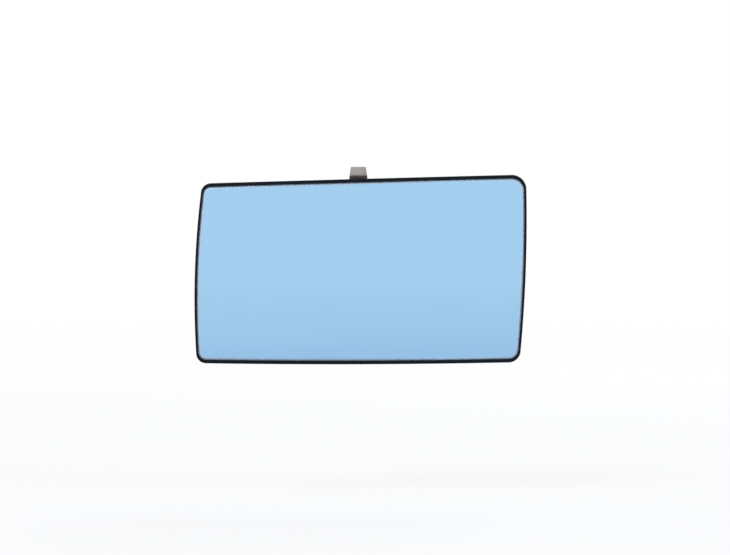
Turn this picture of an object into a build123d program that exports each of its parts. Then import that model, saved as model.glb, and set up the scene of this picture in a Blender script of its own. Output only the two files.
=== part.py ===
from build123d import *
from math import cos, radians, sin, sqrt, tan
import os

# A convex heated door mirror glass in its moulded carrier plate, with the steel ring that locks
# it to the adjuster inside the mirror housing. Millimetres. +Z is up, +X is to the right seen from
# the front, and the glass faces -Y. The origin is on the hub's axis, at the rear mouth of its bore.
# Depths are counted from that mouth towards the front.

# Outline of the carrier plate seen from the front, counted from the hub's axis
left_reach = 86.6
right_reach = 89.0
top_reach = 47.7
bottom_reach = 50.1
top_slope = 1.6
left_bow_radius = 471.0
left_bow_height = -16.0
right_bow_radius = 781.0
right_bow_height = 27.5
bottom_bow_radius = 5000.0
bottom_bow_shift = -14.5
top_left_corner = 5.3
top_right_corner = 7.7
bottom_left_corner = 5.3
bottom_right_corner = 6.4

# Layers, from the front of the glass to the back of the ribs
glass_radius = 1400.0
glass_thickness = 2.0
glass_seam = 1.2
glass_seam_drop = 0.6
foil_thickness = 0.2
glue_gap = 0.1
plate_wall = 2.0
rib_height = 2.0
rim_side = 1.1
rim_end = 1.8
rim_proud = 0.5
rim_round = 0.45
rim_corner_loss = 1.2
glass_gap = 0.1
foil_inset = 1.2

# Hub that takes the adjuster
hub_depth = 8.0
bore_radius = 26.0
collar_wall = 2.5
collar_bevel = 0.6
lug_count = 3
lug_angle = 30.0
lug_gap = 6.0
lug_sill = 1.4
gate_well = 4.0
gate_drop = 0.6
gate_stub = 1.1
gate_stub_rise = 0.4

# Locking ring and its lever
steel = 1.0
ring_band = 8.4
ring_gap = 0.15
seat_gap = 0.1
notch_spare = 0.6
notch_round = 0.8
unlock_turn = 12.0
lever_space = 2.4
joggle_gap = 0.4
joggle_lift = 0.2
tab_rise = 6.75
tab_width = 7.95
tab_round = 0.4
lever_taper = 8.5
lever_root_round = 3.5
bend_radius = 1.1
bead_width = 3.4
bead_margin = 1.2
bead_rise = 0.5
bead_draw = 0.5
bead_bevel = 0.4

# Seat, hooks and stops that hold the ring
seat_wall = 1.6
seat_margin = 1.1
web_drop = 1.6
rib_wall = 1.4
rib_count = 6
cross_rib_shift = 66.0
hook_count = 4
hook_angle = 45.0
hook_width = 7.0
hook_wall = 2.0
hook_reach = 1.4
hook_gap = 0.2
hook_top = 1.2
hook_nose = 0.5
hook_flare = 1.2
stop_radius = 1.5
stop_gap = 0.2
stop_rise = 0.6
stop_bevel = 0.4
root_bite = 0.6

# Heater terminals
blade_width = 6.3
blade_thickness = 0.8
blade_length = 7.6
blade_bevel = 1.2
blade_hole = 0.8
blade_hole_drop = 3.0
blade_bend = 1.0
foot_length = 8.0
foot_gap = 0.02
terminal_shift = 52.0
terminal_rise = 13.0
window_margin = 1.4
window_round = 1.0
rivet_shift = 1.2
rivet_radius = 1.0
rivet_gap = 0.05
rivet_flange = 1.9
rivet_head = 0.5
rivet_bore = 0.6
rivet_bevel = 0.25

# Radii of the concentric spheres that every layer lies between, and their common centre
bond_depth = foil_thickness + 2 * glue_gap
front_depth = hub_depth + plate_wall + bond_depth + glass_thickness
centre_y = glass_radius - front_depth
lip_radius = glass_radius + rim_proud
glass_back_radius = glass_radius - glass_thickness
foil_front_radius = glass_back_radius - glue_gap
foil_back_radius = foil_front_radius - foil_thickness
plate_front_radius = foil_back_radius - glue_gap
plate_back_radius = plate_front_radius - plate_wall
rib_back_radius = plate_back_radius - rib_height
reach = 2 * (left_reach + right_reach)


def plate_back_depth(across):
    # Depth of the plate's hollow back at a distance from the hub's axis
    return sqrt(plate_back_radius ** 2 - across ** 2) - centre_y


# Ring: it lies behind the skirt, so that its lever passes over the top edge
collar_radius = bore_radius + collar_wall
ring_inner = collar_radius + ring_gap
ring_outer = ring_inner + ring_band
ring_front = plate_back_depth(top_reach) - rib_height - lever_space
ring_back = ring_front - steel
ring_middle = ring_front - steel / 2
lever_root = ring_outer - ring_band / 2
joggle_height = top_reach + joggle_lift
joggle_step = lever_space - joggle_gap
tip_height = top_reach + tab_rise
bead_height = (ring_outer + joggle_height) / 2
bead_length = joggle_height - ring_outer - 2 * bead_margin


def lever_half_width(height):
    # Half the lever's width at a height above the hub's axis
    return tab_width / 2 + (tip_height - height) * tan(radians(lever_taper))


# Seat, hooks and stops round the ring
hook_inner = ring_outer + hook_gap
hook_tip = ring_outer - hook_reach
hook_under = hook_gap - ring_back
hook_root = plate_back_depth(hook_inner) + root_bite
seat_depth = ring_front + seat_gap
seat_radius = hook_tip - seat_margin
notch_radius = seat_radius - seat_wall - ring_gap
floor_depth = plate_back_depth(seat_radius)
stop_height = (ring_outer + top_reach - rim_end) / 2
stop_shift = lever_half_width(stop_height) + (stop_radius + stop_gap) / cos(radians(lever_taper))
unlock = radians(unlock_turn)
far_stop = (
    -stop_shift * cos(unlock) - stop_height * sin(unlock),
    stop_height * cos(unlock) - stop_shift * sin(unlock),
)
hook_planes = []
for index in range(hook_count):
    turn = radians(hook_angle + index * 360 / hook_count)
    outward = Vector(cos(turn), 0, sin(turn))
    hook_planes.append(Plane(origin=(0, 0, 0), x_dir=outward, z_dir=outward.cross(Vector(0, 1, 0))))

# Windows for the terminals
window_width = foot_length + 2 * window_margin
window_height = blade_width + 2 * window_margin
window_places = ((-terminal_shift, terminal_rise), (-terminal_shift, -terminal_rise))

# Planes on the back of the foil for the feet of the terminals, square to the spheres
foot_planes = []
for height in (terminal_rise, -terminal_rise):
    back = sqrt(foil_back_radius ** 2 - terminal_shift ** 2 - height ** 2)
    inward = Vector(terminal_shift, back, -height)
    foot_planes.append(Plane(origin=Vector(0, centre_y, 0) - inward, x_dir=(1, 0, 0), z_dir=inward))


def draw_outline(side_inset, end_inset, corner_loss):
    # The mirror's outline in the open sketch, each side moved in by its inset
    with Locations((left_bow_radius - left_reach, left_bow_height)):
        Circle(left_bow_radius - side_inset)
    with Locations((right_reach - right_bow_radius, right_bow_height)):
        Circle(right_bow_radius - side_inset, mode=Mode.INTERSECT)
    with Locations((bottom_bow_shift, bottom_bow_radius - bottom_reach)):
        Circle(bottom_bow_radius - end_inset, mode=Mode.INTERSECT)
    with Locations((0, top_reach - end_inset)):
        Rectangle(reach, reach, rotation=top_slope, align=(Align.CENTER, Align.MAX), mode=Mode.INTERSECT)
    corners = (
        (-left_reach, top_reach, top_left_corner),
        (right_reach, top_reach, top_right_corner),
        (-left_reach, -bottom_reach, bottom_left_corner),
        (right_reach, -bottom_reach, bottom_right_corner),
    )
    for across, up, radius in corners:
        fillet(vertices().sort_by_distance((across, up))[0], radius - corner_loss)


def draw_lever(top):
    # The tapering lever in the open sketch, from inside the ring's band up to a height
    with Locations((0, lever_root)):
        Trapezoid(
            2 * lever_half_width(lever_root),
            top - lever_root,
            90 - lever_taper,
            align=(Align.CENTER, Align.MIN),
        )


def clip_outside(radius):
    # Keeps what lies behind the concentric sphere of this radius
    with Locations((0, centre_y, 0)):
        Sphere(radius, mode=Mode.INTERSECT)


def clip_inside(radius):
    # Takes away what lies behind the concentric sphere of this radius
    with Locations((0, centre_y, 0)):
        Sphere(radius, mode=Mode.SUBTRACT)


# Glass: a sheet between two concentric spheres, with its sharp front edge ground off
with BuildPart() as mirror_glass:
    with BuildSketch(Plane.XZ):
        draw_outline(rim_side + glass_gap, rim_end + glass_gap, rim_corner_loss)
    extrude(amount=2 * front_depth)
    clip_outside(glass_radius)
    clip_inside(glass_back_radius)
    front_face = mirror_glass.faces().sort_by(Axis.Y)[0]
    chamfer(front_face.edges(), glass_seam, glass_seam_drop, reference=front_face)
mirror_glass.part.label = "mirror_glass"

# Heater foil: a sheet between the glass and the plate, with room for its glue on both faces
with BuildPart() as heater_foil:
    with BuildSketch(Plane.XZ):
        draw_outline(rim_side + foil_inset, rim_end + foil_inset, rim_corner_loss + foil_inset)
    extrude(amount=2 * front_depth)
    clip_outside(foil_front_radius)
    clip_inside(foil_back_radius)
heater_foil.part.label = "heater_foil"

# Cutter for the pocket that takes the foil and the glass
with BuildPart() as glass_pocket:
    with BuildSketch(Plane.XZ):
        draw_outline(rim_side, rim_end, rim_corner_loss)
    extrude(amount=2 * front_depth)
    clip_inside(plate_front_radius)

# Cutter for the hollow back, which leaves the skirt, the ribs and the window frames standing
with BuildPart() as back_hollow:
    with BuildSketch(Plane.XZ.offset(-front_depth)):
        draw_outline(rim_side, rim_end, rim_corner_loss)
        with PolarLocations(0, rib_count):
            Rectangle(reach, rib_wall, align=(Align.MIN, Align.CENTER), mode=Mode.SUBTRACT)
        with Locations((-cross_rib_shift, 0), (cross_rib_shift, 0)):
            Rectangle(rib_wall, reach, mode=Mode.SUBTRACT)
        Circle(seat_radius - seat_wall / 2, mode=Mode.SUBTRACT)
        with Locations(*window_places):
            Rectangle(window_width + 2 * rib_wall, window_height + 2 * rib_wall, mode=Mode.SUBTRACT)
    extrude(amount=3 * front_depth)
    clip_outside(plate_back_radius)

with BuildPart() as carrier_plate:
    # Spherical slab from the lip to the back of the ribs, then hollowed from both faces
    with BuildSketch(Plane.XZ):
        draw_outline(0, 0, 0)
    extrude(amount=2 * front_depth)
    clip_outside(lip_radius)
    clip_inside(rib_back_radius)
    fillet(carrier_plate.faces().sort_by(Axis.Y)[0].outer_wire().edges(), rim_round)
    add(glass_pocket.part, mode=Mode.SUBTRACT)
    add(back_hollow.part, mode=Mode.SUBTRACT)

    # Inside the seat the back is cut to a flat floor
    with BuildSketch(Plane.XZ):
        Circle(seat_radius - seat_wall / 2)
    extrude(amount=floor_depth, mode=Mode.SUBTRACT)

    # Well in the floor's middle that keeps the stub of the moulding gate below the surface
    with BuildSketch(Plane.XZ.offset(floor_depth)):
        Circle(gate_well)
    extrude(amount=gate_drop, mode=Mode.SUBTRACT)
    with BuildSketch(Plane.XZ.offset(floor_depth + gate_drop)):
        Circle(gate_stub)
    extrude(amount=-gate_stub_rise)

    # Collar round the bore, bevelled to lead the ring on, with gaps for the adjuster's lugs
    with BuildSketch(Plane.XZ):
        Circle(collar_radius)
        Circle(bore_radius, mode=Mode.SUBTRACT)
    extrude(amount=floor_depth + root_bite)
    mouth = carrier_plate.edges().filter_by(GeomType.CIRCLE).filter_by_position(Axis.Y, -steel, steel)
    chamfer(mouth.sort_by(SortBy.RADIUS)[-1], collar_bevel)
    with BuildSketch(Plane.XZ):
        with PolarLocations(bore_radius + collar_wall / 2, lug_count, start_angle=lug_angle):
            Rectangle(2 * collar_wall, lug_gap)
    extrude(amount=floor_depth - lug_sill, mode=Mode.SUBTRACT)

    # Round seat that the locking ring turns on, tied to the collar by low webs
    with BuildSketch(Plane.XZ.offset(seat_depth)):
        Circle(seat_radius)
        Circle(seat_radius - seat_wall, mode=Mode.SUBTRACT)
    extrude(amount=floor_depth + root_bite - seat_depth)
    with BuildSketch(Plane.XZ.offset(seat_depth + web_drop)):
        with PolarLocations(0, rib_count):
            Rectangle(seat_radius - seat_wall / 2, rib_wall, align=(Align.MIN, Align.CENTER))
        Circle(bore_radius + collar_wall / 2, mode=Mode.SUBTRACT)
    extrude(amount=floor_depth + root_bite - seat_depth - web_drop)

    # Snap hooks over the ring's outer edge, each with the window its moulding core leaves
    with BuildSketch(*hook_planes):
        with BuildLine():
            Polyline(
                (hook_inner, -hook_root),
                (hook_inner + hook_wall + hook_flare, -hook_root),
                (hook_inner + hook_wall, hook_under + hook_top),
                (hook_inner, hook_under + hook_top),
                (hook_tip, hook_under + hook_nose),
                (hook_tip, hook_under),
                (hook_inner, hook_under),
                close=True,
            )
        make_face()
    extrude(amount=hook_width / 2, both=True)
    with BuildSketch(Plane.XZ.offset(hook_root - plate_wall)):
        with PolarLocations(hook_inner, hook_count, start_angle=hook_angle):
            Rectangle(hook_inner - hook_tip + hook_gap, hook_width, align=(Align.MAX, Align.CENTER))
    extrude(amount=2 * plate_wall, mode=Mode.SUBTRACT)

    # Stops on both sides of the lever, one for each end of its turn
    with BuildSketch(Plane.XZ.offset(ring_back - stop_rise)):
        with Locations((stop_shift, stop_height), far_stop):
            Circle(stop_radius)
    posts = extrude(amount=plate_back_depth(stop_height) + root_bite - ring_back + stop_rise)
    chamfer(posts.faces().sort_by(Axis.Y)[-2:].edges(), stop_bevel)

    # Windows for the heater terminals
    with BuildSketch(Plane.XZ):
        with Locations(*window_places):
            RectangleRounded(window_width, window_height, window_round)
    extrude(amount=front_depth, mode=Mode.SUBTRACT)
carrier_plate.part.label = "carrier_plate"

# Locking ring: one steel stamping. The lever's section is drawn from the side and cut to its plan.
with BuildPart() as locking_ring:
    with BuildSketch(Plane.YZ):
        with BuildLine():
            FilletPolyline(
                (-ring_middle, lever_root),
                (-ring_middle, joggle_height),
                (-ring_middle - joggle_step, joggle_height + joggle_step),
                (-ring_middle - joggle_step, tip_height),
                radius=bend_radius,
            )
        trace(line_width=steel)
    extrude(amount=2 * lever_half_width(lever_root), both=True)
    with BuildSketch(Plane.XZ):
        draw_lever(tip_height)
        fillet(vertices().group_by(Axis.Y)[-1], tab_round)
    extrude(amount=front_depth, both=True, mode=Mode.INTERSECT)

    # Flat ring with the notches that let the adjuster's lugs through when it is unlocked
    with BuildSketch(Plane.XZ.offset(ring_back)):
        Circle(ring_outer)
        draw_lever(bead_height)
        for side in (-1, 1):
            root = (side * lever_half_width(ring_outer), ring_outer)
            fillet(vertices().sort_by_distance(root)[0], lever_root_round)
        Circle(ring_inner, mode=Mode.SUBTRACT)
        with PolarLocations(notch_radius, lug_count, start_angle=lug_angle - unlock_turn):
            Rectangle(ring_band, lug_gap + notch_spare, align=(Align.MAX, Align.CENTER), mode=Mode.SUBTRACT)
        inside = (ring_inner + ring_gap, ring_outer - ring_gap)
        fillet([point for point in vertices() if inside[0] < Vector(point).length < inside[1]], notch_round)
    extrude(amount=steel)

    # Pressed bead that stiffens the lever, with the sloping flanks of drawn steel
    with BuildSketch(Plane.XZ.offset(ring_back)):
        with Locations((0, bead_height)):
            SlotOverall(bead_length, bead_width, rotation=90)
    bead = extrude(amount=-bead_rise)
    chamfer(bead.faces().sort_by(Axis.Y)[-1].edges(), bead_bevel)
    with BuildSketch(Plane.XZ.offset(ring_front)):
        with Locations((0, bead_height)):
            SlotOverall(bead_length - 2 * bead_draw, bead_width - 2 * bead_draw, rotation=90)
    extrude(amount=-bead_rise, mode=Mode.SUBTRACT)
locking_ring.part.label = "locking_ring"

# Heater terminals: bent blades that stand on the back of the foil
terminals = []
for plane in foot_planes:
    section = Plane(origin=plane.origin, x_dir=plane.x_dir, z_dir=-plane.y_dir)
    face_on = Plane(origin=plane.origin, x_dir=plane.y_dir, z_dir=plane.x_dir)
    with BuildPart() as terminal:
        with BuildSketch(section):
            with BuildLine():
                FilletPolyline(
                    (foot_length / 2, foot_gap + blade_thickness / 2),
                    ((blade_thickness - foot_length) / 2, foot_gap + blade_thickness / 2),
                    ((blade_thickness - foot_length) / 2, blade_length),
                    radius=blade_bend,
                )
            trace(line_width=blade_thickness)
        extrude(amount=blade_width / 2, both=True)
        tip_edges = terminal.edges().filter_by(Axis(plane.origin, plane.x_dir))
        chamfer(tip_edges.sort_by(Axis(plane.origin, plane.z_dir))[-2:], blade_bevel)
        with BuildSketch(face_on):
            with Locations((0, blade_length - blade_hole_drop)):
                Circle(blade_hole)
        extrude(amount=foot_length, both=True, mode=Mode.SUBTRACT)
        with BuildSketch(plane):
            with Locations((rivet_shift, 0)):
                Circle(rivet_radius + rivet_gap)
        extrude(amount=2 * blade_thickness, mode=Mode.SUBTRACT)
    terminals.append(terminal)
heater_terminal_upper, heater_terminal_lower = terminals
heater_terminal_upper.part.label = "heater_terminal_upper"
heater_terminal_lower.part.label = "heater_terminal_lower"

# Hollow rivets through the feet of the terminals
with BuildPart() as terminal_rivets:
    with BuildSketch(*(plane.offset(foot_gap) for plane in foot_planes)):
        with Locations((rivet_shift, 0)):
            Circle(rivet_radius)
            Circle(rivet_bore, mode=Mode.SUBTRACT)
    extrude(amount=blade_thickness + rivet_head)
    with BuildSketch(*(plane.offset(foot_gap + blade_thickness) for plane in foot_planes)):
        with Locations((rivet_shift, 0)):
            Circle(rivet_flange)
            Circle(rivet_bore, mode=Mode.SUBTRACT)
    extrude(amount=rivet_head)
    heads = terminal_rivets.faces().filter_by(GeomType.PLANE).sort_by(Axis.Y)[-2:]
    chamfer([face.outer_wire().edges() for face in heads], rivet_bevel)
terminal_rivets.part.label = "terminal_rivets"

os.makedirs("parts", exist_ok=True)
export_step(mirror_glass.part, "parts/mirror_glass.step")
export_step(heater_foil.part, "parts/heater_foil.step")
export_step(carrier_plate.part, "parts/carrier_plate.step")
export_step(locking_ring.part, "parts/locking_ring.step")
export_step(heater_terminal_upper.part, "parts/heater_terminal_upper.step")
export_step(heater_terminal_lower.part, "parts/heater_terminal_lower.step")
export_step(terminal_rivets.part, "parts/terminal_rivets.step")
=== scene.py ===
from math import radians, sqrt

import bmesh
import bpy
from bpy.props import FloatProperty, FloatVectorProperty, PointerProperty
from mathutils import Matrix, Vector


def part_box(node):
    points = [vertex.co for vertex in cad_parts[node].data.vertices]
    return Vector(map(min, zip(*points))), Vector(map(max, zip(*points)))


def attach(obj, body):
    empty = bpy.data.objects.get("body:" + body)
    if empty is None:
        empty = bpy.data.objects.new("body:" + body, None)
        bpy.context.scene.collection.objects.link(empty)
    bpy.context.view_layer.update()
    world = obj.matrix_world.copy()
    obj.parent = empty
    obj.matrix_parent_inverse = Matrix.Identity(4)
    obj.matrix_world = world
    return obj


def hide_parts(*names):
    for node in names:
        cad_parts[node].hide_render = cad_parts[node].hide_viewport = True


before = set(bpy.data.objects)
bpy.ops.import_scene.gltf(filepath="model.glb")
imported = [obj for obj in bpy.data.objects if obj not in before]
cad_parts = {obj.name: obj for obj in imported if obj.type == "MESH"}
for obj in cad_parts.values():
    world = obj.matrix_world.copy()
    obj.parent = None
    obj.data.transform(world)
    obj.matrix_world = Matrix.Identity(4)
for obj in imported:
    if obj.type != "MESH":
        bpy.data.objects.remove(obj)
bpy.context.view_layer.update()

bl_info = {
    "name": "Door mirror glass",
    "version": (1, 0, 0),
    "blender": (4, 5, 0),
    "location": "3D View > Sidebar > Mirror",
    "description": "Dresses a convex heated door mirror glass, its carrier plate and its locking ring",
    "category": "Object",
}

# CAD points nearer than the gap become one, and so do faces that meet at less than the angle
MERGE_GAP = 1e-6
FLAT_ANGLE = radians(0.3)

# An edge that turns by more than the first angle is shaded sharp, and past the second it is rounded
SHARP_ANGLE = radians(28)
ROUND_ANGLE = radians(35)
ROUND_STEPS = 2

# Faces of the glass: its front and back, which face along Y by more than this share, and its ground edge
SHEET, EDGE = 0, 1
SHEET_FACING = 0.95

# Points of the glass this near a cut lie on it
CUT_GAP = 1e-7

# Faces of the carrier plate: grained, polished for the lip, and left by the ejector pins
GRAINED, POLISHED, PIN_MARK = 0, 1, 2

# Ejector marks on the plate's back: their middles, across and up from the hub, and the sides of each round
PIN_PLACES = (
    (-0.076, 0.024), (-0.076, -0.028), (0.078, 0.028), (0.076, -0.028), (-0.046, 0.034),
    (0.05, 0.034), (-0.046, -0.036), (0.048, -0.036), (0.05, 0.012), (0.05, -0.012),
)
PIN_SIDES = 40

# Square soft boxes that face the hub, each with its name, its place and its power in watts
SOFT_BOXES = (
    ("key_softbox", (-1.1, -1.2, 1.5), 16.0),
    ("fill_softbox", (1.4, -0.9, 0.9), 7.0),
    ("rear_softbox", (0.5, 1.5, 1.3), 14.0),
)
SOFT_BOX_SIDE = 0.9

# Half the floor's side in metres, and the width of the camera's sensor in millimetres
FLOOR_HALF_SIDE = 40.0
SENSOR_WIDTH = 36.0

WHITE = (1, 1, 1, 1)

# Colour sockets of a Mix node, whose number and vector sockets have the same names
MIX_A, MIX_B, MIX_RESULT = 6, 7, 2


def linear(code):
    """A six-digit sRGB hex code as linear red, green and blue."""
    shares = [int(code[start:start + 2], 16) / 255 for start in (1, 3, 5)]
    return [share / 12.92 if share <= 0.04045 else ((share + 0.055) / 1.055) ** 2.4 for share in shares]


def add_node(tree, kind, settings=None, links=None):
    """Adds one node, sets its fields and sockets, and joins its inputs to what feeds them."""
    node = tree.nodes.new(kind)
    for name, value in (settings or {}).items():
        if isinstance(name, str) and hasattr(node, name):
            setattr(node, name, value)
        else:
            node.inputs[name].default_value = value
    for name, source in (links or {}).items():
        tree.links.new(source, node.inputs[name])
    return node


def new_finish(name):
    """A material with an empty node tree, and the Object coordinates that its patterns lie on."""
    material = bpy.data.materials.new(name)
    material.use_nodes = True
    tree = material.node_tree
    tree.nodes.clear()
    place = add_node(tree, "ShaderNodeTexCoord").outputs["Object"]
    return material, tree, place


class GlassSettings(bpy.types.PropertyGroup):
    """Sizes and colours of the mirror glass."""
    radius: FloatProperty(
        name="Sphere radius", description="Radius of the convex front face",
        default=1.4, min=0.2, precision=5, unit="LENGTH")
    thickness: FloatProperty(
        name="Thickness", description="Thickness of the sheet",
        default=0.002, min=0.001, precision=5, unit="LENGTH")
    grid: FloatProperty(
        name="Grid", description="Spacing of the cuts that let the faces follow the sphere",
        default=0.003, min=0.001, precision=5, unit="LENGTH")
    edge_round: FloatProperty(
        name="Edge round", description="Width of the rounding along the ground edge",
        default=0.00012, min=0.0, precision=5, unit="LENGTH")
    tint: FloatVectorProperty(
        name="Tint", description="Colour that the coated glass gives what it reflects",
        default=linear("#a6d0f0"), subtype="COLOR", size=3)
    tint_far: FloatVectorProperty(
        name="Tint, second", description="The other end of the coating's slight drift in colour",
        default=linear("#a2cdee"), subtype="COLOR", size=3)
    ground: FloatVectorProperty(
        name="Ground edge", description="Colour of the frosted edge",
        default=linear("#c8dcf4"), subtype="COLOR", size=3)


class CarrierSettings(bpy.types.PropertyGroup):
    """Sizes and colours of the moulded carrier plate."""
    edge_round: FloatProperty(
        name="Edge round", description="Width of the rounding that a mould leaves on an edge",
        default=0.00018, min=0.0, precision=5, unit="LENGTH")
    sphere_centre: FloatProperty(
        name="Sphere centre",
        description="Distance from the hub's rear mouth to the centre of the plate's spheres",
        default=1.3876, min=0.1, precision=5, unit="LENGTH")
    smooth_radius: FloatProperty(
        name="Smooth radius",
        description="Radius of the sphere outside which the mould is polished, for the lip",
        default=1.3982, min=0.1, precision=5, unit="LENGTH")
    back_radius: FloatProperty(
        name="Back radius", description="Radius of the sphere that the plate's back lies on",
        default=1.3956, min=0.1, precision=5, unit="LENGTH")
    pin_radius: FloatProperty(
        name="Pin radius", description="Radius of the marks that the mould's ejector pins leave",
        default=0.0023, min=0.0005, precision=5, unit="LENGTH")
    pin_rise: FloatProperty(
        name="Pin rise", description="Height of an ejector mark over the plate's back",
        default=0.0002, min=0.0, precision=5, unit="LENGTH")
    grain: FloatProperty(
        name="Grain", description="Width of one grain of the mould's texture",
        default=0.00065, min=0.0001, precision=5, unit="LENGTH")
    plastic: FloatVectorProperty(
        name="Plastic", description="Colour of the moulded plastic",
        default=linear("#0c1016"), subtype="COLOR", size=3)
    # Painted highlight on the grain's tops, and the real paler clouds of plastic that met late in the mould
    plastic_pale_and_sheen: FloatVectorProperty(
        name="Plastic, paler",
        description="Colour of the grain's tops and of plastic that met late in the mould",
        default=linear("#262a30"), subtype="COLOR", size=3)
    # The lip's near-black is the plastic's own, and its blue cast is a painted reflection of the blue glass
    lip: FloatVectorProperty(
        name="Lip", description="Colour of the smooth lip round the glass",
        default=linear("#08131e"), subtype="COLOR", size=3)
    lip_gloss: FloatProperty(
        name="Lip gloss", description="Strength of the lip's highlights, 0.5 for clean plastic",
        default=0.1, min=0.0, max=1.0, subtype="FACTOR")
    pin_mark: FloatVectorProperty(
        name="Pin mark", description="Colour of the smooth ejector marks",
        default=linear("#1a1e23"), subtype="COLOR", size=3)
    pin_gloss: FloatProperty(
        name="Pin mark gloss", description="Strength of the marks' highlights, 0.5 for clean plastic",
        default=0.4, min=0.0, max=1.0, subtype="FACTOR")


class RingSettings(bpy.types.PropertyGroup):
    """Sizes and colours of the locking ring."""
    edge_round: FloatProperty(
        name="Edge round", description="Width of the rounding on the stamped edges",
        default=0.00012, min=0.0, precision=5, unit="LENGTH")
    track_radius: FloatProperty(
        name="Rubbed radius", description="Radius at the middle of the track that the hooks rub",
        default=0.0368, min=0.001, precision=5, unit="LENGTH")
    track_width: FloatProperty(
        name="Rubbed width", description="Width of the track that the hooks rub",
        default=0.0016, min=0.0, precision=5, unit="LENGTH")
    zinc: FloatVectorProperty(
        name="Zinc", description="Colour of the plated steel",
        default=linear("#bab5b2"), subtype="COLOR", size=3)
    zinc_dull: FloatVectorProperty(
        name="Zinc, dull", description="Colour of its duller patches",
        default=linear("#9e9a96"), subtype="COLOR", size=3)


class HeaterSettings(bpy.types.PropertyGroup):
    """Sizes and colours of the heater film, its terminals and their rivets."""
    edge_round: FloatProperty(
        name="Edge round", description="Width of the rounding on the terminals and rivets",
        default=0.00005, min=0.0, precision=5, unit="LENGTH")
    track_pitch: FloatProperty(
        name="Track pitch", description="Distance from one heater track to the next",
        default=0.0024, min=0.0005, precision=5, unit="LENGTH")
    blade_stain: FloatProperty(
        name="Blade stain", description="Width of the patches where the tin on the blades is thin",
        default=0.004, min=0.0001, precision=5, unit="LENGTH")
    rivet_stain: FloatProperty(
        name="Rivet stain", description="Width of the patches of tin on the rivets",
        default=0.0015, min=0.0001, precision=5, unit="LENGTH")
    film: FloatVectorProperty(
        name="Film", description="Colour of the polyester film",
        default=linear("#1b1c1f"), subtype="COLOR", size=3)
    track: FloatVectorProperty(
        name="Track", description="Colour of the printed heater tracks",
        default=linear("#77736c"), subtype="COLOR", size=3)
    tin: FloatVectorProperty(
        name="Tin", description="Colour of the tin on the blades",
        default=linear("#c6c1b3"), subtype="COLOR", size=3)
    brass: FloatVectorProperty(
        name="Brass", description="Colour of the bare brass",
        default=linear("#b7924c"), subtype="COLOR", size=3)


class StageSettings(bpy.types.PropertyGroup):
    """The room round the mirror and the camera."""
    floor_height: FloatProperty(
        name="Floor height", description="Height of the floor, counted from the hub's axis",
        default=-0.12, precision=5, unit="LENGTH")
    floor_colour: FloatVectorProperty(
        name="Floor", description="Colour of the floor",
        default=linear("#ebeff5"), subtype="COLOR", size=3)
    floor_near: FloatProperty(
        name="Floor, near", description="Distance from the hub past which the floor fades into the room",
        default=0.8, min=0.1, precision=5, unit="LENGTH")
    floor_veil: FloatProperty(
        name="Floor veil", description="Share of the floor that the room's white covers for the camera",
        default=0.8, min=0.0, max=1.0, subtype="FACTOR")
    room_light: FloatProperty(
        name="Room light", description="Strength of the room where it only lights the mirror",
        default=0.5, min=0.0)
    ceiling: FloatProperty(
        name="Ceiling", description="Brightness of the room overhead where the mirror shows it",
        default=0.45, min=0.0, max=1.0, subtype="FACTOR")
    lens: FloatProperty(
        name="Lens", description="Focal length of the camera in millimetres",
        default=100.0, min=20.0)
    camera_distance: FloatProperty(
        name="Camera distance", description="Distance of the camera in front of the hub's rear mouth",
        default=1.081, min=0.2, precision=5, unit="LENGTH")
    camera_shift: FloatVectorProperty(
        name="Camera place", description="Place of the camera across and up from the hub's axis",
        default=(0.00352, -0.00429), precision=5, subtype="XYZ_LENGTH", size=2)


def mirror_glass_finish(look):
    """Float glass with a blue metal coating: clear, cold reflections that drift very slightly in tint."""
    drift_width = 0.035
    smear_size = (0.03, 0.03, 0.004)
    smear_lean = radians(20)
    material, tree, place = new_finish("Blue coated mirror glass")
    # The coating's tint drifts over a few centimetres
    drift = add_node(
        tree, "ShaderNodeTexNoise", {"Scale": 1 / drift_width, "Detail": 2.0}, {"Vector": place})
    tint = add_node(
        tree, "ShaderNodeMix", {"data_type": "RGBA", MIX_A: (*look.tint, 1), MIX_B: (*look.tint_far, 1)},
        {0: drift.outputs["Fac"]})
    # Wiping leaves long thin smears
    wiped = add_node(
        tree, "ShaderNodeMapping",
        {"Rotation": (0, smear_lean, 0), "Scale": [1 / size for size in smear_size]},
        {"Vector": place})
    smear = add_node(tree, "ShaderNodeTexNoise", {"Scale": 1.0, "Detail": 4.0}, {"Vector": wiped.outputs[0]})
    rough = add_node(
        tree, "ShaderNodeMapRange", {"From Min": 0.35, "From Max": 0.75, "To Min": 0.008, "To Max": 0.03},
        {"Value": smear.outputs["Fac"]})
    shader = add_node(
        tree, "ShaderNodeBsdfPrincipled", {"Metallic": 1.0},
        {"Base Color": tint.outputs[MIX_RESULT], "Roughness": rough.outputs[0]})
    add_node(tree, "ShaderNodeOutputMaterial", None, {"Surface": shader.outputs[0]})
    return material


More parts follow.
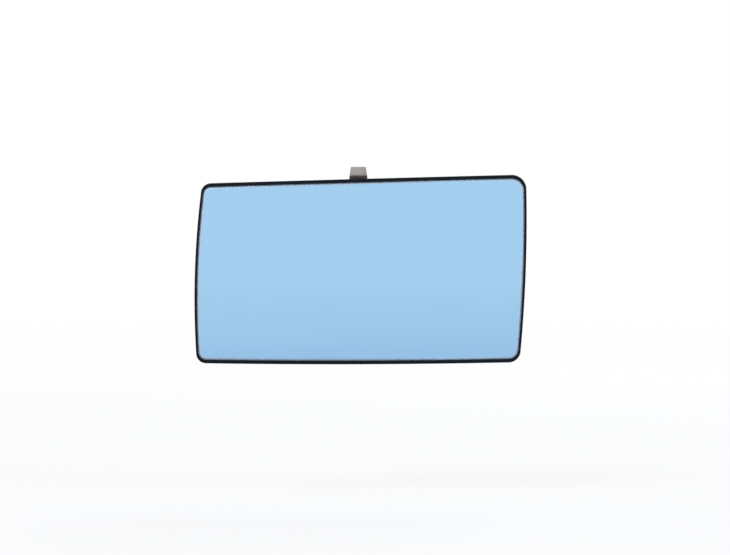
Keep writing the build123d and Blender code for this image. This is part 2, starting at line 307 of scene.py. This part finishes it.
def ground_edge_finish(look):
    """Glass ground with a fine stone: pale and frosted with painted shade in the pits, the coating's shine
    behind it.
    """
    # A real grit of 0.05 mm is too fine to show, so it is drawn coarser
    grit_width = 0.00025
    grit_depth = 0.00002
    # Painted shade: the grit's pits, where its bump is low, are darkened to this share of the edge's colour
    painted_hollow_shade = 0.94
    painted_hollow_tone = [share * painted_hollow_shade for share in look.ground]
    material, tree, place = new_finish("Ground glass edge")
    grit = add_node(tree, "ShaderNodeTexNoise", {"Scale": 1 / grit_width, "Detail": 3.0}, {"Vector": place})
    tone = add_node(
        tree, "ShaderNodeMix", {"data_type": "RGBA", MIX_A: (*painted_hollow_tone, 1), MIX_B: (*look.ground, 1)},
        {0: grit.outputs["Fac"]})
    rough = add_node(
        tree, "ShaderNodeMapRange", {"To Min": 0.45, "To Max": 0.65}, {"Value": grit.outputs["Fac"]})
    relief = add_node(
        tree, "ShaderNodeBump", {"Strength": 0.1, "Distance": grit_depth}, {"Height": grit.outputs["Fac"]})
    # Partly metallic, because the coating shines through the frost
    shader = add_node(
        tree, "ShaderNodeBsdfPrincipled", {"IOR": 1.52, "Specular IOR Level": 0.3, "Metallic": 0.4},
        {"Base Color": tone.outputs[MIX_RESULT], "Roughness": rough.outputs[0], "Normal": relief.outputs[0]})
    add_node(tree, "ShaderNodeOutputMaterial", None, {"Surface": shader.outputs[0]})
    return material


def moulded_plastic_finish(look):
    """Black ABS from a spark-eroded mould: a fine pebbled grain with painted shade in its hollows, and a low
    satin gloss.
    """
    # Real grain is some 0.1 mm wide, too fine to show, so it is drawn as coarse as the setting says
    grain_depth = look.grain / 5
    # Painted shade: the hollows between the pebbles are darkened by this share of their distance from a
    # pebble's middle
    painted_hollow_shade = -0.9
    flow_width = 0.02
    material, tree, place = new_finish("Black ABS, spark-eroded grain")
    pebble = add_node(
        tree, "ShaderNodeTexVoronoi", {"Scale": 1 / look.grain, "feature": "SMOOTH_F1", "Smoothness": 0.5},
        {"Vector": place})
    # Plastic that met late in the mould is a little paler, in clouds
    flow = add_node(
        tree, "ShaderNodeTexNoise", {"Scale": 1 / flow_width, "Detail": 5.0, "Roughness": 0.6},
        {"Vector": place})
    # The clouds are the plastic's own tone; the pebbles add painted shade in their hollows and a painted
    # highlight on their tops
    pale = add_node(
        tree, "ShaderNodeMath", {"operation": "MULTIPLY_ADD", 1: painted_hollow_shade},
        {0: pebble.outputs["Distance"], 2: flow.outputs["Fac"]})
    share = add_node(
        tree, "ShaderNodeMapRange", {"From Min": -0.2, "From Max": 0.5}, {"Value": pale.outputs[0]})
    tone = add_node(
        tree, "ShaderNodeMix",
        {"data_type": "RGBA", MIX_A: (*look.plastic, 1), MIX_B: (*look.plastic_pale_and_sheen, 1)},
        {0: share.outputs[0]})
    rough = add_node(
        tree, "ShaderNodeMapRange", {"To Min": 0.62, "To Max": 0.42}, {"Value": share.outputs[0]})
    relief = add_node(
        tree, "ShaderNodeBump", {"Strength": 0.7, "Distance": grain_depth, "invert": True},
        {"Height": pebble.outputs["Distance"]})
    shader = add_node(
        tree, "ShaderNodeBsdfPrincipled", {"IOR": 1.53, "Specular IOR Level": 0.4},
        {"Base Color": tone.outputs[MIX_RESULT], "Roughness": rough.outputs[0], "Normal": relief.outputs[0]})
    add_node(tree, "ShaderNodeOutputMaterial", None, {"Surface": shader.outputs[0]})
    return material


def smooth_plastic_finish(name, colour, gloss):
    """Black ABS from a polished part of the mould: smooth and nearly black, with a faint haze."""
    haze_width = 0.003
    dark_shade, pale_shade = 0.7, 1.3
    dark = [share * dark_shade for share in colour]
    pale = [share * pale_shade for share in colour]
    material, tree, place = new_finish(name)
    # Handling hazes it in small patches
    haze = add_node(tree, "ShaderNodeTexNoise", {"Scale": 1 / haze_width, "Detail": 4.0}, {"Vector": place})
    tone = add_node(
        tree, "ShaderNodeMix", {"data_type": "RGBA", MIX_A: (*dark, 1), MIX_B: (*pale, 1)},
        {0: haze.outputs["Fac"]})
    rough = add_node(
        tree, "ShaderNodeMapRange", {"From Min": 0.3, "From Max": 0.7, "To Min": 0.3, "To Max": 0.5},
        {"Value": haze.outputs["Fac"]})
    shader = add_node(
        tree, "ShaderNodeBsdfPrincipled", {"IOR": 1.53, "Specular IOR Level": gloss},
        {"Base Color": tone.outputs[MIX_RESULT], "Roughness": rough.outputs[0]})
    add_node(tree, "ShaderNodeOutputMaterial", None, {"Surface": shader.outputs[0]})
    return material


def plated_steel_finish(look):
    """Cold-rolled strip with dull zinc plating: warm grey, with fine rolling lines and cloudy patches."""
    cloud_width = 0.005
    # Rolling lines are some 0.05 mm apart, too fine to show, so they are drawn further apart
    line_size = (0.012, 0.012, 0.0003)
    line_depth = 0.00003
    track_wander = 0.0008
    track_shine = 0.18
    material, tree, place = new_finish("Zinc plated rolled steel")
    cloud = add_node(
        tree, "ShaderNodeTexNoise", {"Scale": 1 / cloud_width, "Detail": 5.0, "Roughness": 0.6},
        {"Vector": place})
    rolled = add_node(
        tree, "ShaderNodeMapping", {"Scale": [1 / size for size in line_size]}, {"Vector": place})
    line = add_node(
        tree, "ShaderNodeTexNoise", {"Scale": 1.0, "Detail": 3.0, "Roughness": 0.7},
        {"Vector": rolled.outputs[0]})
    # The hooks rub a brighter track, with a ragged edge, along the ring's outer edge
    flat = add_node(tree, "ShaderNodeVectorMath", {"operation": "MULTIPLY", 1: (1, 0, 1)}, {0: place})
    radius = add_node(tree, "ShaderNodeVectorMath", {"operation": "LENGTH"}, {0: flat.outputs[0]})
    ragged = add_node(
        tree, "ShaderNodeMath", {"operation": "MULTIPLY_ADD", 1: track_wander},
        {0: cloud.outputs["Fac"], 2: radius.outputs["Value"]})
    track = add_node(
        tree, "ShaderNodeMath", {"operation": "COMPARE", 1: look.track_radius, 2: look.track_width / 2},
        {0: ragged.outputs[0]})
    both = add_node(
        tree, "ShaderNodeMath", {"operation": "ADD"}, {0: cloud.outputs["Fac"], 1: line.outputs["Fac"]})
    worn = add_node(
        tree, "ShaderNodeMath", {"operation": "MULTIPLY_ADD", 1: track_shine},
        {0: track.outputs[0], 2: both.outputs[0]})
    share = add_node(
        tree, "ShaderNodeMapRange", {"From Min": 0.7, "From Max": 1.3}, {"Value": worn.outputs[0]})
    tone = add_node(
        tree, "ShaderNodeMix", {"data_type": "RGBA", MIX_A: (*look.zinc_dull, 1), MIX_B: (*look.zinc, 1)},
        {0: share.outputs[0]})
    rough = add_node(
        tree, "ShaderNodeMapRange", {"To Min": 0.58, "To Max": 0.42}, {"Value": share.outputs[0]})
    relief = add_node(
        tree, "ShaderNodeBump", {"Strength": 0.35, "Distance": line_depth}, {"Height": line.outputs["Fac"]})
    # Not wholly metallic, because dull plating also scatters light
    shader = add_node(
        tree, "ShaderNodeBsdfPrincipled", {"Metallic": 0.6},
        {"Base Color": tone.outputs[MIX_RESULT], "Roughness": rough.outputs[0], "Normal": relief.outputs[0]})
    add_node(tree, "ShaderNodeOutputMaterial", None, {"Surface": shader.outputs[0]})
    return material


def heater_film_finish(look):
    """Dark polyester film with printed tracks: satin, with dull metallic lines across it."""
    print_depth = 0.00003
    # A track begins a little past a quarter of the pitch from the middle of the bare film, with a soft edge
    bare_end, print_start = look.track_pitch * 0.26, look.track_pitch * 0.3
    material, tree, place = new_finish("Printed polyester heater film")
    apart = add_node(tree, "ShaderNodeSeparateXYZ", None, {0: place})
    wave = add_node(
        tree, "ShaderNodeMath", {"operation": "PINGPONG", 1: look.track_pitch / 2}, {0: apart.outputs["Z"]})
    share = add_node(
        tree, "ShaderNodeMapRange", {"From Min": bare_end, "From Max": print_start},
        {"Value": wave.outputs[0]})
    tone = add_node(
        tree, "ShaderNodeMix", {"data_type": "RGBA", MIX_A: (*look.film, 1), MIX_B: (*look.track, 1)},
        {0: share.outputs[0]})
    rough = add_node(
        tree, "ShaderNodeMapRange", {"To Min": 0.32, "To Max": 0.5}, {"Value": share.outputs[0]})
    relief = add_node(
        tree, "ShaderNodeBump", {"Strength": 0.4, "Distance": print_depth}, {"Height": share.outputs[0]})
    shader = add_node(
        tree, "ShaderNodeBsdfPrincipled", {"IOR": 1.58},
        {"Base Color": tone.outputs[MIX_RESULT], "Roughness": rough.outputs[0],
         "Metallic": share.outputs[0], "Normal": relief.outputs[0]})
    add_node(tree, "ShaderNodeOutputMaterial", None, {"Surface": shader.outputs[0]})
    return material


def plated_brass_finish(name, colour, stain_colour, stain_width):
    """Stamped strip brass, tinned or bare: bright, with duller patches of the other metal."""
    material, tree, place = new_finish(name)
    stain = add_node(
        tree, "ShaderNodeTexNoise", {"Scale": 1 / stain_width, "Detail": 4.0}, {"Vector": place})
    share = add_node(
        tree, "ShaderNodeMapRange", {"From Min": 0.45, "From Max": 0.75}, {"Value": stain.outputs["Fac"]})
    tone = add_node(
        tree, "ShaderNodeMix", {"data_type": "RGBA", MIX_A: (*colour, 1), MIX_B: (*stain_colour, 1)},
        {0: share.outputs[0]})
    rough = add_node(
        tree, "ShaderNodeMapRange", {"To Min": 0.2, "To Max": 0.42}, {"Value": stain.outputs["Fac"]})
    shader = add_node(
        tree, "ShaderNodeBsdfPrincipled", {"Metallic": 1.0},
        {"Base Color": tone.outputs[MIX_RESULT], "Roughness": rough.outputs[0]})
    add_node(tree, "ShaderNodeOutputMaterial", None, {"Surface": shader.outputs[0]})
    return material


def floor_finish(look):
    """Pale matt card: it shows near the mirror, and is lost in the white of the room further off."""
    fade_power = 2.0
    material, tree, place = new_finish("Pale studio floor")
    away = add_node(tree, "ShaderNodeVectorMath", {"operation": "LENGTH"}, {0: place})
    near = add_node(
        tree, "ShaderNodeMath", {"operation": "DIVIDE", "use_clamp": True, 0: look.floor_near},
        {1: away.outputs["Value"]})
    shown = add_node(tree, "ShaderNodeMath", {"operation": "POWER", 1: fade_power}, {0: near.outputs[0]})
    path = add_node(tree, "ShaderNodeLightPath")
    bare = add_node(
        tree, "ShaderNodeMath", {"operation": "MULTIPLY_ADD", 1: -look.floor_veil, 2: 1.0},
        {0: path.outputs["Is Camera Ray"]})
    share = add_node(
        tree, "ShaderNodeMath", {"operation": "MULTIPLY"}, {0: shown.outputs[0], 1: bare.outputs[0]})
    white = add_node(tree, "ShaderNodeEmission", {"Color": WHITE, "Strength": 1.0})
    matt = add_node(tree, "ShaderNodeBsdfDiffuse", {"Color": (*look.floor_colour, 1)})
    mixed = add_node(
        tree, "ShaderNodeMixShader", None, {0: share.outputs[0], 1: white.outputs[0], 2: matt.outputs[0]})
    # From below the floor is clear, so that the underside can be looked at
    side = add_node(tree, "ShaderNodeNewGeometry")
    clear = add_node(tree, "ShaderNodeBsdfTransparent")
    sided = add_node(
        tree, "ShaderNodeMixShader", None,
        {0: side.outputs["Backfacing"], 1: mixed.outputs[0], 2: clear.outputs[0]})
    add_node(tree, "ShaderNodeOutputMaterial", None, {"Surface": sided.outputs[0]})
    return material


def white_room(look):
    """A room that is white where it is seen or mirrored, dimmer overhead, and softer where it lights."""
    # Heights, on directions of length 1, between which the mirrored room dims towards the ceiling
    wall_top, ceiling_edge = 0.25, 0.85
    world = bpy.data.worlds.new("White room")
    world.use_nodes = True
    tree = world.node_tree
    tree.nodes.clear()
    path = add_node(tree, "ShaderNodeLightPath")
    direction = add_node(tree, "ShaderNodeTexCoord")
    apart = add_node(tree, "ShaderNodeSeparateXYZ", None, {0: direction.outputs["Generated"]})
    dimming = add_node(
        tree, "ShaderNodeMapRange",
        {"interpolation_type": "SMOOTHSTEP", "From Min": wall_top, "From Max": ceiling_edge,
         "To Min": 1.0, "To Max": look.ceiling},
        {"Value": apart.outputs["Z"]})
    soft = add_node(tree, "ShaderNodeBackground", {"Color": WHITE, "Strength": look.room_light})
    mirrored = add_node(tree, "ShaderNodeBackground", {"Color": WHITE}, {"Strength": dimming.outputs[0]})
    white = add_node(tree, "ShaderNodeBackground", {"Color": WHITE, "Strength": 1.0})
    lit = add_node(
        tree, "ShaderNodeMixShader", None,
        {0: path.outputs["Is Glossy Ray"], 1: soft.outputs[0], 2: mirrored.outputs[0]})
    seen = add_node(
        tree, "ShaderNodeMath", {"operation": "MAXIMUM"},
        {0: path.outputs["Is Camera Ray"], 1: path.outputs["Is Transmission Ray"]})
    mixed = add_node(
        tree, "ShaderNodeMixShader", None, {0: seen.outputs[0], 1: lit.outputs[0], 2: white.outputs[0]})
    add_node(tree, "ShaderNodeOutputWorld", None, {"Surface": mixed.outputs[0]})
    return world


def merged_copy(node):
    """A bmesh of a CAD node, with its loose triangles joined and its flat faces made whole."""
    bm = bmesh.new()
    bm.from_mesh(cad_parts[node].data)
    bmesh.ops.remove_doubles(bm, verts=bm.verts, dist=MERGE_GAP)
    bmesh.ops.dissolve_limit(bm, angle_limit=FLAT_ANGLE, verts=bm.verts, edges=bm.edges)
    return bm


def place_piece(bm, name, node, body, finishes, edge_round=0.0):
    """Turns a bmesh into the piece that stands for a CAD node and rides its body."""
    mesh = bpy.data.meshes.new(name)
    bm.to_mesh(mesh)
    bm.free()
    # The normals that came with the CAD mesh no longer fit
    if "custom_normal" in mesh.attributes:
        mesh.attributes.remove(mesh.attributes["custom_normal"])
    for finish in finishes:
        mesh.materials.append(finish)
    mesh.shade_smooth()
    mesh.set_sharp_from_angle(angle=SHARP_ANGLE)
    piece = bpy.data.objects.new(name, mesh)
    bpy.context.scene.collection.objects.link(piece)
    if edge_round:
        rounds = piece.modifiers.new("Rounded edges", "BEVEL")
        rounds.width = edge_round
        rounds.segments = ROUND_STEPS
        rounds.limit_method = "ANGLE"
        rounds.angle_limit = ROUND_ANGLE
        rounds.use_clamp_overlap = False
    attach(piece, body)
    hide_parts(node)
    return piece


def curve_sheet(bm, face, corners, grid, centre, radius):
    """Cuts one face of the glass into a grid between two corners, and puts its points on a sphere."""
    low, high = corners
    sheet = [face]
    for axis, across in ((0, Vector((1, 0, 0))), (2, Vector((0, 0, 1)))):
        for index in range(1, int((high - low)[axis] / grid)):
            geom = dict.fromkeys(part for f in sheet for part in (*f.verts, *f.edges, f))
            cut = bmesh.ops.bisect_plane(
                bm, geom=list(geom), dist=CUT_GAP, plane_co=low + across * index * grid, plane_no=across)
            sheet = [part for part in cut["geom"] if isinstance(part, bmesh.types.BMFace)]
    for vert in {vert for f in sheet for vert in f.verts}:
        vert.co.y = centre - sqrt(radius ** 2 - vert.co.x ** 2 - vert.co.z ** 2)


class DOOR_MIRROR_OT_glass(bpy.types.Operator):
    """Makes the convex glass, with its ground edge"""
    bl_idname = "door_mirror.glass"
    bl_label = "Mirror glass"

    def execute(self, context):
        look = context.scene.mirror_glass_look
        bm = merged_copy("mirror_glass")
        # Front and back become one face each, and the front's edge is rounded
        inner = [
            edge for edge in bm.edges
            if all(abs(face.normal.y) > SHEET_FACING for face in edge.link_faces)]
        bmesh.ops.dissolve_edges(bm, edges=inner, use_verts=True)
        front = max(bm.faces, key=lambda face: -face.normal.y * face.calc_area())
        corner = front.verts[0].co
        centre = corner.y + sqrt(look.radius ** 2 - corner.x ** 2 - corner.z ** 2)
        bmesh.ops.bevel(
            bm, geom=list(front.edges), offset=look.edge_round, offset_type="OFFSET", affect="EDGES",
            segments=ROUND_STEPS, profile=0.5, material=-1, clamp_overlap=True)
        # A fine grid of cuts then lets both follow their spheres
        largest = sorted(bm.faces, key=lambda face: face.calc_area())[-2:]
        front, back = sorted(largest, key=lambda face: face.normal.y)
        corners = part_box("mirror_glass")
        curve_sheet(bm, front, corners, look.grid, centre, look.radius)
        curve_sheet(bm, back, corners, look.grid, centre, look.radius - look.thickness)
        bm.normal_update()
        for face in bm.faces:
            face.material_index = SHEET if abs(face.normal.y) > SHEET_FACING else EDGE
        place_piece(
            bm, "glass_sheet", "mirror_glass", "mirror",
            [mirror_glass_finish(look), ground_edge_finish(look)])
        return {"FINISHED"}


class DOOR_MIRROR_OT_carrier(bpy.types.Operator):
    """Makes the carrier plate, with the rounded edges and the ejector marks of a moulding"""
    bl_idname = "door_mirror.carrier"
    bl_label = "Carrier plate"

    def execute(self, context):
        look = context.scene.mirror_carrier_look
        centre = Vector((0, look.sphere_centre, 0))
        bm = merged_copy("carrier_plate")
        for face in bm.faces:
            reach = (face.calc_center_median() - centre).length
            face.material_index = POLISHED if reach > look.smooth_radius else GRAINED
        # Ejector marks: low round pads, clear of the ribs, square to the curved back and let into it
        for x, z in PIN_PLACES:
            spot = Vector((x, look.sphere_centre - sqrt(look.back_radius ** 2 - x ** 2 - z ** 2), z))
            inward = (centre - spot).normalized()
            disc = bmesh.ops.create_circle(bm, cap_ends=True, segments=PIN_SIDES, radius=look.pin_radius)
            pad = disc["verts"]
            turn = inward.to_track_quat("Z", "Y").to_matrix()
            bmesh.ops.rotate(bm, verts=pad, cent=(0, 0, 0), matrix=turn)
            bmesh.ops.translate(bm, verts=pad, vec=spot - inward * look.pin_rise)
            made = bmesh.ops.extrude_face_region(bm, geom=list(pad[0].link_faces))["geom"]
            for part in made:
                if isinstance(part, bmesh.types.BMFace):
                    part.material_index = PIN_MARK
            top = [part for part in made if isinstance(part, bmesh.types.BMVert)]
            bmesh.ops.translate(bm, verts=top, vec=inward * look.pin_rise * 2)
        finishes = [
            moulded_plastic_finish(look),
            # The lip's colour carries a painted reflection: its blue cast stands in for the blue glass
            # beside it
            smooth_plastic_finish("Black ABS, polished lip", look.lip, look.lip_gloss),
            smooth_plastic_finish("Black ABS, ejector marks", look.pin_mark, look.pin_gloss),
        ]
        place_piece(
            bm, "moulded_carrier", "carrier_plate", "mirror", finishes, look.edge_round)
        return {"FINISHED"}


class DOOR_MIRROR_OT_locking_ring(bpy.types.Operator):
    """Makes the stamped locking ring, with its edges tumbled"""
    bl_idname = "door_mirror.locking_ring"
    bl_label = "Locking ring"

    def execute(self, context):
        look = context.scene.mirror_ring_look
        place_piece(
            merged_copy("locking_ring"), "stamped_ring", "locking_ring", "lock",
            [plated_steel_finish(look)], look.edge_round)
        return {"FINISHED"}


class DOOR_MIRROR_OT_heater(bpy.types.Operator):
    """Makes the two terminals and their rivets, and gives the heater film its print"""
    bl_idname = "door_mirror.heater"
    bl_label = "Heater"

    def execute(self, context):
        look = context.scene.mirror_heater_look
        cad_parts["heater_foil"].material_slots[0].material = heater_film_finish(look)
        tinned = plated_brass_finish("Tinned strip brass", look.tin, look.brass, look.blade_stain)
        bare = plated_brass_finish("Bare rivet brass", look.brass, look.tin, look.rivet_stain)
        metalwork = (
            ("blade_upper", "heater_terminal_upper", "tinned_brass", tinned),
            ("blade_lower", "heater_terminal_lower", "tinned_brass", tinned),
            ("tubular_rivets", "terminal_rivets", "rivet_brass", bare),
        )
        for name, node, slot, finish in metalwork:
            place_piece(merged_copy(node), name, node, "mirror", [finish], look.edge_round)
        return {"FINISHED"}


class DOOR_MIRROR_OT_stage(bpy.types.Operator):
    """Sets the floor, the light and the camera"""
    bl_idname = "door_mirror.stage"
    bl_label = "Stage"

    def execute(self, context):
        scene = context.scene
        look = scene.mirror_stage_look
        scene.view_settings.view_transform = "Standard"
        scene.world = white_room(look)

        bm = bmesh.new()
        bmesh.ops.create_grid(bm, x_segments=1, y_segments=1, size=FLOOR_HALF_SIDE)
        bmesh.ops.translate(bm, verts=bm.verts, vec=(0, 0, look.floor_height))
        mesh = bpy.data.meshes.new("studio_floor")
        bm.to_mesh(mesh)
        bm.free()
        mesh.materials.append(floor_finish(look))
        floor = bpy.data.objects.new("studio_floor", mesh)
        scene.collection.objects.link(floor)

        for name, spot, power in SOFT_BOXES:
            lamp = bpy.data.lights.new(name, "AREA")
            lamp.energy = power
            lamp.size = SOFT_BOX_SIDE
            holder = bpy.data.objects.new(name, lamp)
            holder.location = spot
            holder.rotation_euler = (-Vector(spot)).to_track_quat("-Z", "Y").to_euler()
            scene.collection.objects.link(holder)

        camera = bpy.data.cameras.new("front_camera")
        camera.lens = look.lens
        camera.sensor_width = SENSOR_WIDTH
        camera.sensor_fit = "HORIZONTAL"
        holder = bpy.data.objects.new("front_camera", camera)
        holder.location = (look.camera_shift[0], -look.camera_distance, look.camera_shift[1])
        holder.rotation_euler = (radians(90), 0, 0)
        scene.collection.objects.link(holder)
        scene.camera = holder
        return {"FINISHED"}


class DOOR_MIRROR_PT_panel(bpy.types.Panel):
    """Lists the steps and what a user may change"""
    bl_idname = "DOOR_MIRROR_PT_panel"
    bl_label = "Door mirror glass"
    bl_space_type = "VIEW_3D"
    bl_region_type = "UI"
    bl_category = "Mirror"

    def draw(self, context):
        steps = (
            ("door_mirror.glass", context.scene.mirror_glass_look),
            ("door_mirror.carrier", context.scene.mirror_carrier_look),
            ("door_mirror.locking_ring", context.scene.mirror_ring_look),
            ("door_mirror.heater", context.scene.mirror_heater_look),
            ("door_mirror.stage", context.scene.mirror_stage_look),
        )
        for step, look in steps:
            column = self.layout.column(align=True)
            column.operator(step)
            for name in look.__annotations__:
                column.prop(look, name)


GROUPS = {
    "mirror_glass_look": GlassSettings,
    "mirror_carrier_look": CarrierSettings,
    "mirror_ring_look": RingSettings,
    "mirror_heater_look": HeaterSettings,
    "mirror_stage_look": StageSettings,
}
TOOLS = (
    DOOR_MIRROR_OT_glass,
    DOOR_MIRROR_OT_carrier,
    DOOR_MIRROR_OT_locking_ring,
    DOOR_MIRROR_OT_heater,
    DOOR_MIRROR_OT_stage,
    DOOR_MIRROR_PT_panel,
)


def register():
    """Gives every scene the settings, and adds the steps and their panel."""
    for name, group in GROUPS.items():
        bpy.utils.register_class(group)
        setattr(bpy.types.Scene, name, PointerProperty(type=group))
    for tool in TOOLS:
        bpy.utils.register_class(tool)


def unregister():
    """Takes away what register added, in the opposite order."""
    for tool in reversed(TOOLS):
        bpy.utils.unregister_class(tool)
    for name, group in reversed(GROUPS.items()):
        delattr(bpy.types.Scene, name)
        bpy.utils.unregister_class(group)


def main():
    """Makes every piece and the stage."""
    register()
    bpy.ops.door_mirror.glass()
    bpy.ops.door_mirror.carrier()
    bpy.ops.door_mirror.locking_ring()
    bpy.ops.door_mirror.heater()
    bpy.ops.door_mirror.stage()


if __name__ == "__main__":
    main()
